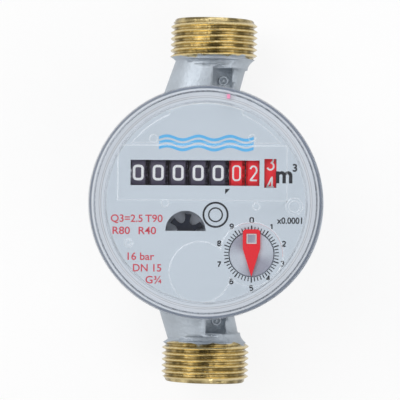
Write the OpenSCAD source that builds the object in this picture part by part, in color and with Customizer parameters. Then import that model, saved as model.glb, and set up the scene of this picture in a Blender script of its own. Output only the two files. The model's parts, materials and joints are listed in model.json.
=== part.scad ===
// Single-jet water meter with a dry dial, lying on its base with the dial facing up.
// Millimetres. The pipe runs along Y with the inlet at +Y.
// The origin is on the base, under the pipe's middle.

/* [Pipe body] */
// Length over the two pipe ends
pipe_length = 110; // [106:0.5:130]
// Height of the pipe's axis above the base
axis_height = 16; // [15:0.1:19]
// Outside diameter of the pipe threads
thread_d = 26.441; // [25.6:0.001:28]
// Depth of the pipe threads
thread_depth = 1.162; // [0.6:0.001:1.6]
// Length of each pipe thread
thread_length = 9.8; // [6:0.1:11]
// Plain lead before the thread
thread_lead = 1.7; // [1.6:0.05:3]
// Diameter of the waterway in each pipe end
port_d = 14.4; // [12:0.1:16]
// Depth of the wide part of each waterway
port_depth = 14; // [12.5:0.1:16]
// Diameter of the slanted necks at the threads
neck_d = 20.9; // [19.5:0.1:22]
// Widening of each neck towards the chamber
neck_swell = 2.6; // [0:0.1:3]
// Slant of the necks from the pipe's axis
neck_tilt = 16; // [8:1:20]
// Diameter of the jet channel inside each neck
jet_d = 9.4; // [7:0.1:10]
// Distance of the wrench flats from the pipe's axis
flat_height = 9.4; // [9:0.1:11]
// Width of the pocket in the top of each neck
pocket_w = 5.8; // [4:0.1:6.5]
// Diameter of the chamber in which the impeller runs
chamber_d = 41; // [38:0.1:44]
// Height of that chamber
chamber_h = 20.5; // [19:0.1:24]
// Wall of the chamber
chamber_wall = 3.3; // [2.5:0.1:4.5]
// Floor of the chamber
chamber_floor = 3; // [2.5:0.1:4]
// Diameter of the head above the chamber
head_d = 58.8; // [57:0.1:59.2]
// Bore of the head, which takes the closing plate
head_bore_d = 51.6; // [49:0.1:53]
// Height of the head above the closing plate's seat
head_h = 9.5; // [8.5:0.1:11]
// Stand-out of the lip that holds the register
lip_out = 0.8; // [0.6:0.1:1]
// Place of the register's axis along the pipe
register_y = -0.9; // [-3:0.1:3]
// Turn of the register on the body
register_angle = 1.2; // [-20:0.1:20]

/* [Wet parts] */
// Thickness of the inlet strainer
strainer_t = 1.3; // [1:0.1:2]
// Diameter of the strainer's holes
strainer_hole_d = 1.6; // [1.2:0.1:1.8]
// Diameter over the impeller's blades
impeller_d = 36.4; // [32:0.1:37]
// Blades on the impeller
blade_count = 7; // [5:1:9]
// Thickness of a blade
blade_t = 1.2; // [0.8:0.1:2]
// Diameter of the impeller's hub
hub_d = 9; // [7:0.1:10]
// Diameter of the lower pivot
pivot_d = 2; // [1.4:0.1:2.6]
// Diameter of the upper pivot
upper_pivot_d = 1.6; // [1.2:0.1:2.2]
// Diameter of the impeller's magnet
impeller_magnet_d = 14; // [12:0.1:16]
// Thickness of the impeller's magnet
impeller_magnet_t = 2.8; // [2:0.1:3.4]
// Thickness of the closing plate
plate_t = 4.5; // [4:0.1:5.4]
// Thickness of the closing plate's wall between the magnets
membrane_t = 2.7; // [2.4:0.1:3.2]
// Thickness of the sealing ring
seal_d = 1.8; // [1.4:0.1:2.2]
// Inside diameter of the brass clamp ring
clamp_bore_d = 41; // [39:0.1:44]
// Wall of the magnet shield
shield_wall = 1.6; // [1:0.1:2.2]

/* [Register] */
// Diameter of the clear cap
cap_d = 67; // [66:0.1:70]
// Wall of the clear cap
cap_wall = 3.5; // [3.3:0.1:3.8]
// Thickness of the cap's window
cap_window_t = 1.4; // [1.2:0.1:2.5]
// Width of the raised rim round the window
rim_w = 1.6; // [1:0.1:2.2]
// Height of that rim
rim_h = 0.8; // [0.5:0.1:1.4]
// Diameter of the lock ring round the cap's foot
ring_d = 68.8; // [68:0.1:72]
// Height of the lock ring
ring_h = 6.7; // [5:0.1:9]
// Thickness of the register's base
base_t = 1.5; // [1.3:0.1:2]
// Thickness of the gasket under the cap
gasket_t = 0.5; // [0.3:0.1:1]
// Thickness of the plate over the gears
gear_plate_t = 1.2; // [1:0.1:1.4]
// Diameter of the pillars on the base
pillar_d = 3.2; // [2.6:0.1:3.6]
// Thickness of the dial
dial_t = 0.8; // [0.6:0.1:1]
// Room between the dial and its cover
cover_gap = 1.5; // [1.4:0.1:1.9]
// Thickness of the dial cover
cover_t = 0.8; // [0.6:0.1:1.2]
// Height of the steps moulded on the dial cover
cover_step = 0.5; // [0.3:0.1:0.8]

/* [Counter] */
// Diameter of the number drums
drum_d = 19.6; // [19:0.1:20]
// Place of the drums' axle across the dial
counter_y = 8.5; // [8.3:0.1:8.9]
// Height of the drums' axle above the register's base
counter_h = 12; // [11.8:0.1:13]
// Left end of the row of drums
counter_x = -22.2; // [-22.4:0.1:-21.8]
// Number band on each black drum
black_band_w = 4; // [3.8:0.1:4.05]
// Number band on each red drum
red_band_w = 3.1; // [2.9:0.1:3.15]
// Recess with the carry teeth between two black drums
black_recess_w = 1.75; // [1.7:0.05:1.8]
// Recess with the carry teeth between two red drums
red_recess_w = 1.75; // [1.7:0.05:1.8]
// Diameter of the drums' axle
axle_d = 3; // [2.4:0.1:3.4]
// Diameter of the carry pinions' axle
carry_axle_d = 1.4; // [1:0.1:1.6]
// Height of the dial's window on the drums
window_h = 7.3; // [6.6:0.1:8]
// Height of the window on the last drum
last_window_h = 8.3; // [7:0.1:8.8]

/* [Gear train] */
// Module of the wheels
gear_m = 0.5; // [0.48:0.005:0.505]
// Thickness of a wheel
gear_t = 1.2; // [1:0.1:1.4]
// Teeth of the small pinions
pinion_teeth = 10; // [9:1:10]
// Teeth of the large wheels
wheel_teeth = 30; // [28:1:30]
// Teeth of the pointer's second wheel and of the worm's wheel
take_off_teeth = 16; // [14:1:16]
// Teeth of the idler between them
idler_teeth = 24; // [22:1:24]
// Direction from the middle to the flow star
star_dir = 234.7; // [230:0.1:240]
// Direction from the flow star to the middle wheel
middle_dir = -20.7; // [-26:0.1:-16]
// Direction from the middle wheel to the pointer
pointer_dir = -17.1; // [-22:0.1:-14]
// Direction from the pointer to the idler
idler_dir = 67.8; // [64:0.1:70]
// Direction from the idler to the worm
worm_dir = 47.4; // [45:0.1:50]
// Module of the worm and its wheel
worm_m = 0.8; // [0.7:0.01:0.84]
// Teeth of the worm's wheel
worm_wheel_teeth = 10; // [10:1:11]
// Face width of the worm's wheel
worm_wheel_w = 1.6; // [1.2:0.1:1.8]
// Module of the carry teeth
carry_m = 0.78; // [0.77:0.005:0.8]
// Diameter of the journals in the gear plate
journal_d = 2.4; // [2:0.1:2.6]
// Diameter of the pivots in the base
arbor_d = 1.6; // [1.2:0.1:1.8]
// Diameter of the driven magnet
magnet_d = 15; // [13:0.1:15.4]
// Thickness of the driven magnet
magnet_t = 4; // [3:0.1:4.4]
// Diameter of the pointer's metal disc
disc_d = 12.6; // [11:0.1:13]
// Length of the pointer's tip from its axis
pointer_tip = 6.5; // [5:0.1:7.4]
// Length of the pointer's tail from its axis
pointer_tail = 7.1; // [6:0.1:7.4]
// Width of the pointer's tail
pointer_w = 5; // [4:0.1:5.4]
// Thickness of the pointer
pointer_t = 0.8; // [0.5:0.1:0.9]
// Diameter over the arms of the flow star
star_d = 10.6; // [9:0.1:11]
// Arms of the flow star
star_arms = 6; // [5:1:8]
// Diameter of the half-round window over the flow star
star_window_d = 11.6; // [11.2:0.1:12]

/* [Clearances] */
// Radial clearance of a running pivot
run = 0.04; // [0.02:0.01:0.08]
// Gap between parts that turn past each other
turn_gap = 0.3; // [0.2:0.05:0.4]
// Radial clearance of the register on the head
head_gap = 0.4; // [0.3:0.05:0.5]
// Clearance of a part that drops into a bore
drop = 0.1; // [0.05:0.05:0.2]
// Extra distance between the axes of two wheels
mesh_gap = 0.05; // [0.03:0.01:0.1]
// Thinning of the wheels' teeth
backlash = 0.2; // [0.1:0.01:0.25]

/* [Hidden] */
$fn = 96;
over = 1;
pressure_angle = 20;
digits = 10;
black_drums = 5;
red_drums = 3;
drum_total = black_drums + red_drums;
// Digits shown at rest, from the left
shown = [0, 0, 0, 0, 0, 0, 2, 3.5];

// Heights, from the base up
head_seat_z = chamber_floor + chamber_h;
plate_top_z = head_seat_z + plate_t;
head_top_z = head_seat_z + head_h;
base_z = head_top_z + turn_gap;
floor_z = base_z + base_t;
axle_z = floor_z + counter_h;
dial_z = axle_z + drum_d / 2 + 0.2;
dial_top_z = dial_z + dial_t;
cover_z = dial_top_z + cover_gap;
cap_under_z = cover_z + cover_t + cover_step + turn_gap;
cap_window_z = cap_under_z + cap_window_t;
cap_top_z = cap_window_z + rim_h;

// Pipe ends
pipe_end = pipe_length / 2;
thread_r = thread_d / 2;
root_r = thread_r - thread_depth;
end_chamfer = 0.6;
run_out = 0.7;
flare_w = 3.5;
flare_steps = 6;
thread_end = pipe_end - thread_lead;
thread_start = thread_end - thread_length;
neck_start = thread_start - flare_w;
neck_lead = 0.45;
neck_over = 1.15;
neck_pivot = thread_start + neck_lead;
neck_cut = neck_start + neck_over;
neck_length = neck_pivot - chamber_d / 4;
flat_margin = 0.3;
flat_end = thread_start - run_out - flat_margin;
neck_r = neck_d / 2;
pocket_floor = jet_d / 2 + 1.4;
pocket_x = 0.1;
pocket_margin = 0.8;

// Chamber and head
chamber_r = chamber_d / 2;
cup_r = chamber_r + chamber_wall;
head_r = head_d / 2;
lip_r = head_r + lip_out;
lip_h = 2.4;
base_edge = 2.5;
base_recess = 0.8;
foot_w = 6;
shoulder_drop = 7;
shoulder_z = head_seat_z - 1.5;
lip_chamfer = 0.8;
boss_h = 2;
boss_d = 6;
strainer_seat = pipe_end - 8;
strainer_r = port_d / 2 + 0.6;
strainer_rings = 2;
strainer_pitch = 2.45;

// Closing plate, pivots and magnets
plate_r = head_bore_d / 2 - drop;
well_r = magnet_d / 2 + turn_gap + 0.5;
well_wall = 1;
recess_z = head_seat_z + membrane_t;
recess_r = well_r + well_wall + head_gap;
pin_depth = 1.7;
pivot_tip_z = chamber_floor + boss_h + 4.5;
hub_z = chamber_floor + boss_h + turn_gap;
magnet_seat_z = head_seat_z - 0.7 - impeller_magnet_t;
spigot_r = 3.2;
collar_t = 1;
blade_lift = 1;
blade_drop = 0.5;
pivot_reach = 1.2;
clamp_drop = 0.4;
clamp_h = head_h - plate_t - clamp_drop;
slot_count = 4;
slot_w = 3;
slot_depth = 1.5;
seal_z = (head_seat_z + plate_top_z) / 2;
seal_ring_r = head_bore_d / 2 - seal_d / 2;
seal_play = 0.04;
magnet_z = recess_z + turn_gap + well_wall + turn_gap;
magnet_hub_r = 2.2;
magnet_flange_t = 1;
pin_foot_z = recess_z + turn_gap + 0.3;
pivot_seat = 0.6;
shield_r = clamp_bore_d / 2 - turn_gap;

// Register case
cap_r = cap_d / 2;
cap_bore_r = cap_r - cap_wall;
gasket_seat = 0.5;
skirt_r = max(lip_r + head_gap, cap_bore_r + gasket_seat) + drop;
base_r = skirt_r - drop;
ring_wall = 0.7;
ring_flange_t = 1.3;
ring_chamfer = 0.4;
collar_r = cap_r + ring_wall;
ring_top_z = head_top_z - lip_h - turn_gap;
ring_hook_r = head_r + head_gap;
ring_low_z = ring_top_z - ring_flange_t;
cover_r = cap_bore_r - 0.6;
cover_wall = 0.8;
step_side = 3;
step_right = 23.2;
step_y = [counter_y - 7.9, counter_y + 7.8];
field_gap = 0.7;
field_r = cover_r - 2.2;
field_rise = 1.2;
field_half = 10.5;
pointer_margin = 2;
blank_at = [-1.5, -20];
blank_r = 8.8;
pegs = [[-22, -11.7, 1.2], [25.4, -1, 2.4]];
rim_chamfer = 0.6;
rim_slope = 0.4;
notch_w = 4.6;
notch_in = 2.6;
notch_depth = 2;
notch_place = [5.9, cap_r - rim_w - drop - notch_in];
tab_size = [0.9, 1.2, 1.2];
tab_place = notch_place + [0, 0.5];

// Wheels: one place per axis, each reached from the one before it
function toward(dir, dist) = dist * [cos(dir), sin(dir)];
function apart(teeth_a, teeth_b) = gear_m * (teeth_a + teeth_b) / 2 + mesh_gap;
reach = apart(pinion_teeth, wheel_teeth);
take_off_reach = apart(take_off_teeth, idler_teeth);
star_at = toward(star_dir, reach);
middle_at = star_at + toward(middle_dir, reach);
pointer_at = middle_at + toward(pointer_dir, reach);
idler_at = pointer_at + toward(idler_dir, take_off_reach);
worm_at = idler_at + toward(worm_dir, take_off_reach);
// Angle of a wheel whose teeth meet those of another, seen along dir from that one
function meshed(dir, turn, teeth_a, teeth_b) =
    dir + 180 - (0.5 - (dir - turn) * teeth_a / 360) * 360 / teeth_b;
star_turn = meshed(star_dir, 0, pinion_teeth, wheel_teeth);
middle_turn = meshed(middle_dir, 0, pinion_teeth, wheel_teeth);
pointer_turn = meshed(pointer_dir, 0, pinion_teeth, wheel_teeth);
idler_turn = meshed(idler_dir, 0, take_off_teeth, idler_teeth);
worm_turn = meshed(worm_dir, idler_turn, idler_teeth, take_off_teeth);
layer_rise = gear_t + 1;
layer_a = floor_z + turn_gap;
layer_b = layer_a + layer_rise;
layer_c = layer_b + layer_rise;
arbor_depth = base_t - 0.4;
arbor_z = floor_z - arbor_depth;
plate_z = dial_z - 2.8 - gear_plate_t;
journal_top = plate_z + gear_plate_t;
star_z = journal_top + 0.8;
star_t = 0.9;
disc_t = 0.5;
pointer_z = dial_top_z + turn_gap;
disc_z = pointer_z - disc_t;
top_spigot_r = 0.9;
hub_skin = 0.3;
pointer_shoulder = 1.6;
pointer_corner = 0.9;
opening_w = pointer_w - 2;
opening_y = [2.9, 2.9 + opening_w];

// Drums: the pitch of a drum is its band and the recess beside it
function is_black(i) = i < black_drums;
function band_w(i) = is_black(i) ? black_band_w : red_band_w;
function recess_w(i) = is_black(i) ? black_recess_w : red_recess_w;
function drum_x(i) = i == 0 ? counter_x : drum_x(i - 1) + band_w(i - 1) + recess_w(i - 1);
function band_x(i) = drum_x(i) + lock_w;
drum_r = drum_d / 2;
lock_w = 0.65;
drum_gap = 0.35;
function carry_gear_w(i) = recess_w(i) - lock_w - drum_gap;
carry_gear_teeth = 2 * digits;
carry_pinion_teeth = 8;
carry_reach = carry_m * (carry_gear_teeth + carry_pinion_teeth) / 2 + mesh_gap;
carry_dir = -40;
carry_at = [counter_y, axle_z] + toward(carry_dir, carry_reach);
lock_r = carry_reach - 2.97;
carry_add = 0.66;
pinion_play = 0.15;
lock_notch_r = 1.7;
lock_notch_out = 0.6;
lock_pin = [0.7, 0.8];
lock_pin_in = 0.4;
lock_pin_dir = 16;

// Worm: its radius follows from the two axes that it joins
worm_wheel_r = worm_m * worm_wheel_teeth / 2;
worm_lead = PI * worm_m;
worm_r = counter_y - worm_at[1] - worm_wheel_r;
worm_add = 0.65;
worm_ded = 0.85;
worm_tooth_w = 0.9;
worm_collar = 0.8;
worm_play = 0.45;
worm_boss = 3;
worm_half = 1.75 * worm_lead;
worm_bottom_z = axle_z - worm_half;
worm_shaft_r = min(1.4, worm_r - worm_ded - 0.25);

// Frame that holds the two axles
frame_t = 1.2;
frame_left_x = counter_x - turn_gap - 0.1 - frame_t;
frame_right_x = worm_at[0] + worm_wheel_w / 2 + 0.6;
carry_post_x = band_x(drum_total - 1) + red_band_w + 0.6;
frame_bar_y = [counter_y + 1.1, counter_y + 4.5];
frame_bar_h = 1.4;
frame_r = cap_bore_r - 0.4;
axle_wall = 1.6;
carry_wall = 0.7;
carry_foot = 2.6;

// Pillars on the base: the first group carries the gear plate, the second the dial
gear_pillars = [[25, -11], [-20, -13], [0.5, -25]];
dial_pillars = [[-10, 24.6], [10, 24.6]];

// Places

module on_register() {
    translate([0, register_y, 0]) rotate(register_angle) children();
}

module on_pipe(side) {
    translate([0, 0, axis_height]) rotate([-90 * side, 0, 0]) children();
}

module on_both_ends() {
    for (end = [0, 1]) mirror([0, end, 0]) children();
}

module in_neck() {
    translate([0, neck_pivot, axis_height]) rotate([90, 0, -neck_tilt]) children();
}

// A flat outline stood up so that it lies across the counter and is raised along X
module on_axle(x, centre = [counter_y, axle_z]) {
    translate([x, centre[0], centre[1]]) rotate([90, 0, 90]) children();
}

module at(place, z) {
    translate([place[0], place[1], z]) children();
}

module tube(outer_r, inner_r, h) {
    difference() {
        cylinder(r = outer_r, h = h);
        translate([0, 0, -over]) cylinder(r = inner_r, h = h + 2 * over);
    }
}

module rod(r, from, to) {
    translate([0, 0, from]) cylinder(r = r, h = to - from);
}

// Teeth

function involute(a) = tan(a) * 180 / PI - a;

function half_tooth(r, teeth, m, thin) =
    let (pitch_r = m * teeth / 2,
         base_circle = pitch_r * cos(pressure_angle),
         here = acos(base_circle / max(r, base_circle)))
    90 / teeth - thin / 2 / pitch_r * 180 / PI + involute(pressure_angle) - involute(here);

// Outline of a spur wheel. Only the listed teeth stand up, the rest of the rim is at the root
module spur(teeth, m, add, thin = backlash, turn = 0, kept = undef) {
    list = is_undef(kept) ? [for (k = [0 : teeth - 1]) k] : kept;
    tip = m * teeth / 2 + add;
    root = m * (teeth / 2 - 1.25);
    radii = [root, root + 0.45 * (tip - root), root + 0.75 * (tip - root), tip];
    polygon([for (k = list, side = [-1, 1], j = [0 : 3])
        let (r = radii[side < 0 ? j : 3 - j],
             a = turn + 360 * k / teeth + side * half_tooth(r, teeth, m, thin))
        toward(a, r)]);
}

module wheel(teeth, turn, z) {
    translate([0, 0, z]) linear_extrude(gear_t) spur(teeth, gear_m, 0.85 * gear_m, turn = turn);
}

module pinion(from, to) {
    translate([0, 0, from]) linear_extrude(to - from) spur(pinion_teeth, gear_m, 0.85 * gear_m);
}

// Body and wet parts

// A pipe end before its thread is cut, with a hollow flare down to the neck
module threaded_end() {
    flare_h = flare_w - run_out;
    rotate_extrude() polygon(concat(
        [[0, neck_start]],
        [for (k = [0 : flare_steps]) let (t = k / flare_steps)
            [neck_r + (root_r - neck_r) * t * t, neck_start + flare_h * t]],
        [[thread_r, thread_start], [thread_r, thread_end], [root_r, thread_end + run_out],
         [root_r, pipe_end - end_chamfer], [root_r - end_chamfer, pipe_end], [0, pipe_end]]));
}

module cup() {
    lip_z = head_top_z - lip_h;
    rotate_extrude() polygon([[0, 0], [cup_r - base_edge, 0], [cup_r, base_edge],
        [cup_r, shoulder_z - shoulder_drop], [head_r, shoulder_z], [head_r, lip_z], [lip_r, lip_z],
        [lip_r, head_top_z - lip_chamfer], [lip_r - lip_chamfer, head_top_z], [0, head_top_z]]);
}

module neck_pocket() {
    translate([pocket_x, 0, axis_height + pocket_floor]) cube([pocket_w, neck_cut - pocket_margin, neck_d]);
}

module wrench_flats(start) {
    for (side = [-1, 1])
        translate([-neck_d, side < 0 ? -neck_d - flat_height : flat_height, start])
            cube([2 * neck_d, neck_d, flat_end - start]);
}

module waterway() {
    on_pipe(1) rod(port_d / 2, pipe_end - port_depth, pipe_end + over);
    in_neck() cylinder(d = jet_d, h = neck_length);
}

module body() color("silver") difference() {
    union() {
        translate([0, register_y, 0]) cup();
        on_both_ends() difference() {
            on_pipe(1) threaded_end();
            on_pipe(1) wrench_flats(neck_start - over);
        }
        on_both_ends() difference() {
            in_neck() cylinder(r1 = neck_r, r2 = neck_r + neck_swell / 2, h = neck_length);
            neck_pocket();
            on_pipe(1) wrench_flats(neck_cut);
            on_pipe(1) rod(neck_d, flat_end, pipe_end);
        }
    }
    on_both_ends() waterway();
    on_pipe(1) rod(strainer_r, strainer_seat, pipe_end + over);
    translate([0, register_y, 0]) difference() {
        union() {
            rod(chamber_r, chamber_floor, head_seat_z + over);
            rod(head_bore_d / 2, head_seat_z, head_top_z + over);
            rod(cup_r - base_edge - foot_w, -over, base_recess);
        }
        rod(boss_d / 2, chamber_floor - over, chamber_floor + boss_h);
    }
    translate([0, register_y, 0]) rod(pivot_d / 2, chamber_floor - pivot_seat, chamber_floor + boss_h + over);
}

module inlet_strainer() color("white") on_pipe(1) difference() {
    rod(strainer_r - drop, strainer_seat, strainer_seat + strainer_t);
    for (row = [0 : strainer_rings], k = [0 : max(0, 6 * row - 1)])
        rotate(60 * k / max(1, row)) translate([strainer_pitch * row, 0, strainer_seat - over])
            cylinder(d = strainer_hole_d, h = strainer_t + 2 * over);
}

module lower_pivot() color("lightgray")
    translate([0, register_y, 0]) rod(pivot_d / 2, chamber_floor - pivot_seat, pivot_tip_z);

module impeller() color("white") translate([0, register_y, 0]) difference() {
    union() {
        rod(hub_d / 2, hub_z, magnet_seat_z);
        rod(impeller_magnet_d / 2, magnet_seat_z - collar_t, magnet_seat_z);
        rod(spigot_r, magnet_seat_z - over, magnet_seat_z + impeller_magnet_t);
        for (k = [0 : blade_count - 1])
            rotate(360 * k / blade_count) translate([0, -blade_t / 2, hub_z + blade_lift])
                cube([impeller_d / 2, blade_t, magnet_seat_z - hub_z - blade_lift - blade_drop]);
    }
    rod(pivot_d / 2 + run, hub_z - over, pivot_tip_z + turn_gap);
    rod(upper_pivot_d / 2 + run, magnet_seat_z - pivot_reach - turn_gap, head_seat_z);
}

module impeller_magnet() color("dimgray")
    translate([0, register_y, magnet_seat_z]) tube(impeller_magnet_d / 2, spigot_r, impeller_magnet_t);

module head_plate() color("ivory") translate([0, register_y, 0]) difference() {
    rod(plate_r, head_seat_z, plate_top_z);
    rod(recess_r, recess_z, plate_top_z + over);
    rod(upper_pivot_d / 2, head_seat_z - over, head_seat_z + pin_depth);
    translate([0, 0, seal_z - seal_d / 2]) tube(plate_r + over, seal_ring_r - seal_d / 2, seal_d);
}

module upper_pivot() color("lightgray") translate([0, register_y, 0])
    rod(upper_pivot_d / 2, magnet_seat_z - pivot_reach, head_seat_z + pin_depth);

module head_seal() color("black") translate([0, register_y, seal_z])
    rotate_extrude() translate([seal_ring_r, 0]) circle(d = seal_d - seal_play);

module magnet_shield() color("gray")
    translate([0, register_y, plate_top_z]) tube(shield_r, shield_r - shield_wall, clamp_h - drop);

module clamp_ring() color("goldenrod") translate([0, register_y, plate_top_z]) difference() {
    tube(plate_r, clamp_bore_d / 2, clamp_h);
    for (k = [0 : slot_count - 1]) rotate(360 * (k + 0.5) / slot_count)
        translate([0, -slot_w / 2, clamp_h - slot_depth]) cube([head_r, slot_w, slot_depth + over]);
}

// Register case

module lock_ring() color("whitesmoke") translate([0, register_y, 0]) rotate_extrude()
    polygon([[ring_hook_r, ring_low_z], [ring_d / 2 - ring_chamfer, ring_low_z],
        [ring_d / 2, ring_low_z + ring_chamfer], [ring_d / 2, ring_top_z - ring_chamfer],
        [collar_r, ring_top_z - ring_chamfer], [collar_r, ring_low_z + ring_h - ring_chamfer],
        [cap_r, ring_low_z + ring_h], [cap_r, ring_top_z], [ring_hook_r, ring_top_z]]);

module register_base() color("lightsteelblue") on_register() difference() {
    union() {
        rod(base_r, base_z, floor_z);
        rod(well_r + well_wall, recess_z + turn_gap, floor_z);
        for (p = gear_pillars) at(p, floor_z - over) cylinder(d = pillar_d, h = plate_z - floor_z + over);
        for (p = dial_pillars) at(p, floor_z - over) cylinder(d = pillar_d, h = dial_z - floor_z + over);
    }
    rod(well_r, recess_z + turn_gap + well_wall, floor_z + over);
    rod(arbor_d / 2, pin_foot_z, floor_z);
    for (p = [star_at, middle_at, pointer_at, idler_at, worm_at])
        at(p, arbor_z) cylinder(r = arbor_d / 2 + run, h = base_t);
}

module gear_plate() color("lightslategray") on_register() translate([0, 0, plate_z]) difference() {
    union() {
        linear_extrude(gear_plate_t) gear_plate_outline();
        for (p = gear_pillars) at(p, 0) cylinder(d = pillar_d, h = dial_z - plate_z);
    }
    for (p = [star_at, middle_at, pointer_at, idler_at, worm_at])
        at(p, -over) cylinder(r = journal_d / 2 + run, h = gear_plate_t + 2 * over);
}

module gear_plate_outline() {
    intersection() {
        circle(r = cap_bore_r - 1);
        union() {
            translate([-cap_r, -cap_r]) square([2 * cap_r, cap_r - 0.4]);
            translate([worm_at[0] - journal_d, -over]) square([2 * journal_d, worm_at[1] + journal_d + over]);
        }
    }
}

module axle_frame() color("gainsboro") on_register() difference() {
    intersection() {
        rod(frame_r, floor_z, cap_under_z);
        axle_frame_plates();
    }
    for (x = [frame_left_x, frame_right_x])
        on_axle(x - over) cylinder(d = axle_d, h = frame_t + 2 * over);
    for (x = [frame_left_x, carry_post_x])
        on_axle(x - over, carry_at) cylinder(d = carry_axle_d, h = frame_t + 2 * over);
}

module axle_frame_plates() {
    top_z = axle_z + axle_d / 2 + axle_wall;
    axle_front = counter_y - axle_d / 2 - axle_wall;
    carry_back = carry_at[0] + carry_axle_d / 2 + carry_wall;
    bar_length = frame_right_x + frame_t - frame_left_x;
    translate([frame_left_x, frame_bar_y[0], floor_z])
        cube([bar_length, frame_bar_y[1] - frame_bar_y[0], frame_bar_h]);
    translate([frame_left_x, axle_front, floor_z]) cube([frame_t, carry_back - axle_front, top_z - floor_z]);
    translate([frame_right_x, frame_bar_y[0], floor_z])
        cube([frame_t, frame_bar_y[1] - frame_bar_y[0], top_z - floor_z]);
    translate([frame_right_x, axle_front, axle_z - axle_d / 2 - axle_wall])
        cube([frame_t, frame_bar_y[1] - axle_front, axle_d + 2 * axle_wall]);
    translate([carry_post_x, frame_bar_y[0], floor_z])
        cube([frame_t, carry_back - frame_bar_y[0], frame_bar_h]);
    translate([carry_post_x, carry_at[0] - carry_foot, floor_z])
        cube([frame_t, carry_back - carry_at[0] + carry_foot, carry_at[1] + axle_wall - floor_z]);
}

module drum_axle() color("lightgray") on_register()
    on_axle(frame_left_x) cylinder(d = axle_d, h = frame_right_x + frame_t - frame_left_x);

module carry_axle() color("lightgray") on_register()
    on_axle(frame_left_x, carry_at) cylinder(d = carry_axle_d, h = carry_post_x + frame_t - frame_left_x);

module dial() color("lightsteelblue") on_register() translate([0, 0, dial_z])
    linear_extrude(dial_t) difference() {
        circle(r = cover_r);
        counter_window(0, drum_total - 2, window_h);
        counter_window(drum_total - 1, drum_total - 1, last_window_h);
        translate(star_at) intersection() {
            circle(d = star_window_d);
            translate([-star_window_d, 0]) square(2 * star_window_d);
        }
        translate(pointer_at) circle(r = disc_d / 2 + turn_gap);
    }

module counter_window(first, last, h) {
    margin = 0.2;
    left = band_x(first) - margin;
    right = band_x(last) + band_w(last) + margin;
    translate([left, counter_y - h / 2]) square([right - left, h]);
}

module dial_cover() color("azure", 0.4) on_register() {
    rim_z = dial_top_z;
    translate([0, 0, rim_z]) tube(cover_r, cover_r - cover_wall, cover_z - rim_z);
    rod(cover_r, cover_z, cover_z + cover_t);
    translate([0, 0, cover_z + cover_t]) linear_extrude(cover_step) cover_steps();
}

// Steps over the drums, the name field, the pointer and a blank second dial, with the moulding pegs
module cover_steps() {
    left = counter_x - step_side;
    translate([left, step_y[0]]) square([step_right - left, step_y[1] - step_y[0]]);
    intersection() {
        union() {
            circle(r = field_r);
            translate([-field_half, 0]) square([2 * field_half, field_r + field_rise]);
        }
        translate([-cap_r, step_y[1] + field_gap]) square([2 * cap_r, cap_r]);
        circle(r = field_r + field_rise);
    }
    translate(pointer_at) circle(r = pointer_tail + pointer_margin);
    translate(blank_at) circle(r = blank_r);
    for (p = pegs) translate([p[0], p[1]]) circle(r = p[2]);
}

module cap_gasket() color("dimgray") on_register()
    translate([0, 0, floor_z]) tube(base_r, cap_bore_r, gasket_t);

module clear_cap() color("azure", 0.35) on_register() difference() {
    rotate_extrude() polygon([[skirt_r, ring_top_z], [cap_r, ring_top_z], [cap_r, cap_top_z - rim_chamfer],
        [cap_r - rim_chamfer, cap_top_z], [cap_r - rim_w, cap_top_z],
        [cap_r - rim_w - rim_slope, cap_window_z], [0, cap_window_z], [0, cap_under_z],
        [cap_bore_r, cap_under_z], [cap_bore_r, floor_z + gasket_t],
        [skirt_r, floor_z + gasket_t]]);
    translate([notch_place[0] - notch_w / 2, notch_place[1], cap_top_z - notch_depth])
        cube([notch_w, notch_in, notch_depth + over]);
}

module lock_tab() color("hotpink") on_register()
    at(tab_place, cap_top_z - notch_depth) cube(tab_size);

// Gear train

module magnet_pin() color("lightgray") on_register()
    rod(arbor_d / 2, pin_foot_z, layer_a + gear_t + 2 * turn_gap);

module magnet_wheel() color("white") on_register() difference() {
    union() {
        rod(magnet_hub_r, magnet_z, magnet_z + magnet_t + magnet_flange_t);
        rod(magnet_d / 2, magnet_z + magnet_t, magnet_z + magnet_t + magnet_flange_t);
        pinion(magnet_z + magnet_t, layer_a + gear_t + turn_gap);
    }
    rod(arbor_d / 2 + run, magnet_z - over, layer_a + gear_t + over);
}

module driven_magnet() color("dimgray") on_register()
    translate([0, 0, magnet_z]) tube(magnet_d / 2, magnet_hub_r, magnet_t);

// A shaft with its pivot in the base and its journal in the gear plate
module arbor(top) {
    rod(arbor_d / 2, arbor_z + drop, layer_a);
    rod(journal_d / 2, layer_a, top);
}

module star_wheel() color("white") on_register() at(star_at, 0) {
    arbor(star_z);
    wheel(wheel_teeth, star_turn, layer_a);
    pinion(layer_a, layer_b + gear_t + turn_gap);
    rod(top_spigot_r, star_z - over, star_z + star_t - hub_skin);
}

module flow_star() color("#1c2430") on_register() at(star_at, star_z) difference() {
    linear_extrude(star_t) {
        circle(d = 0.45 * star_d);
        for (k = [0 : star_arms - 1]) rotate(15 + 360 * k / star_arms)
            polygon([[0, -0.13 * star_d], [0.36 * star_d, -0.11 * star_d], [star_d / 2, 0],
                [0.36 * star_d, 0.11 * star_d], [0, 0.13 * star_d]]);
    }
    rod(top_spigot_r, -over, star_t - hub_skin);
}

module middle_wheel() color("white") on_register() at(middle_at, 0) {
    arbor(journal_top);
    wheel(wheel_teeth, middle_turn, layer_b);
    pinion(layer_b, layer_c + gear_t + turn_gap);
}

module pointer_wheel() color("white") on_register() at(pointer_at, 0) {
    arbor(disc_z);
    wheel(take_off_teeth, 0, layer_a);
    wheel(wheel_teeth, pointer_turn, layer_c);
    rod(top_spigot_r, disc_z - over, pointer_z + pointer_t - hub_skin);
}

module pointer_disc() color("silver") on_register() at(pointer_at, disc_z)
    tube(disc_d / 2, top_spigot_r, disc_t);

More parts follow.
